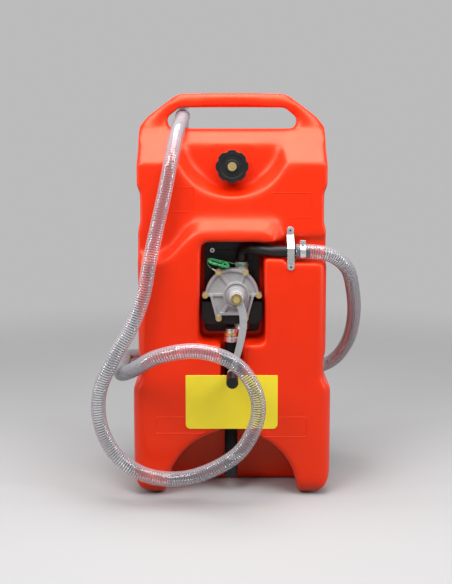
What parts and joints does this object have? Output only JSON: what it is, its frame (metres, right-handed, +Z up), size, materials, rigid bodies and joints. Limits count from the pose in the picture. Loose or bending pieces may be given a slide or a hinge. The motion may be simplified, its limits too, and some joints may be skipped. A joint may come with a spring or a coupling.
{
  "type": "portable fuel tank",
  "caption": "Tall wheeled fuel tank with a moulded handle, screw filler cap, hand-cranked rotary pump, suction line, clear reinforced delivery hose and bent spout.",
  "frame": {"origin": "on the floor, in the middle of the tank's width and of the length from crank knob to wheels", "axes": "+Z up, the front with pump and filler faces -Y, the outlet side faces +X"},
  "size_m": [0.5842, 0.4399, 0.87],
  "materials": {
    "red_plastic": "satin moulded polyethylene",
    "black_plastic": "satin",
    "black_rubber": "matte",
    "tyre": "matte",
    "cast_metal": "rough cast",
    "zinc_gold": "yellow passivated",
    "steel": "bright zinc",
    "clear_hose": "clear with a steel helix in the wall",
    "green_wire": "gloss"
  },
  "bodies": {
    "cart": {"tank": "red_plastic", "mount_plate": "black_plastic", "plate_screws": "steel", "pump_cradle": "black_plastic", "pump_body": "cast_metal", "cover_gasket": "black_rubber", "pump_cover": "cast_metal", "cover_bolts": "zinc_gold", "shaft_packing": "black_rubber", "gland_nut": "cast_metal", "outlet_pipe": "black_plastic", "pipe_strap": "steel", "strap_screws": "steel", "outlet_clamp": "steel", "inlet_elbow": "steel", "union_nut": "zinc_gold", "suction_hose": "black_rubber", "suction_clamps": "steel", "tank_elbow": "black_plastic", "elbow_seal": "black_rubber", "bulkhead_nut": "black_plastic", "clamp_screws": "steel", "delivery_hose": "clear_hose", "spout": "steel", "spout_clamp": "steel", "spout_clamp_screw": "steel", "earth_wire": "green_wire", "earth_terminal": "steel", "wire_tie": "black_plastic", "axle": "steel", "axle_brackets": "black_plastic", "bracket_screws": "steel", "axle_caps": "steel"},
    "crank": {"crank_arm": "cast_metal", "crank_washer": "zinc_gold", "crank_bolt": "zinc_gold", "pump_shaft": "steel", "rotor": "steel", "rotor_vanes": "black_plastic", "knob_spindle": "steel", "knob_clip": "steel"},
    "knob": {"crank_knob": "black_plastic"},
    "cap_seal": {"cap_gasket": "black_rubber"},
    "cap_button": {"cap_vent": "zinc_gold"},
    "cap": {"filler_cap": "black_plastic"},
    "wheel_left": {"wheel_left_rim": "black_plastic", "wheel_left_tyre": "tyre"},
    "wheel_right": {"wheel_right_rim": "black_plastic", "wheel_right_tyre": "tyre"}
  },
  "joints": [
    {"name": "crank_turn", "type": "hinge", "parent": "cart", "child": "crank", "pos_m": [0.009, -0.097, 0.436], "axis": [0, -1, 0], "continuous": true},
    {"name": "knob_spin", "type": "hinge", "parent": "crank", "child": "knob", "pos_m": [0, -0.147, 0.27425], "axis": [0, -1, 0], "continuous": true},
    {"name": "cap_lift", "type": "slide", "parent": "cart", "child": "cap_seal", "axis": [0, -1, 0], "range_m": [0, 0.12]},
    {"name": "cap_rise", "type": "slide", "parent": "cap_seal", "child": "cap_button", "axis": [0, -1, 0], "range_m": [0, 0.012]},
    {"name": "cap_turn", "type": "hinge", "parent": "cap_button", "child": "cap", "pos_m": [0, -0.057, 0.712], "axis": [0, -1, 0], "range_deg": [0, 1080]},
    {"name": "wheel_left_spin", "type": "hinge", "parent": "cart", "child": "wheel_left", "pos_m": [-0.186, 0.11, 0.075], "axis": [1, 0, 0], "continuous": true},
    {"name": "wheel_right_spin", "type": "hinge", "parent": "cart", "child": "wheel_right", "pos_m": [0.186, 0.11, 0.075], "axis": [1, 0, 0], "continuous": true}
  ],
  "couplings": [
    {"joint": "cap_rise", "follows": "cap_turn", "m_per_rad": 0.000636}
  ]
}
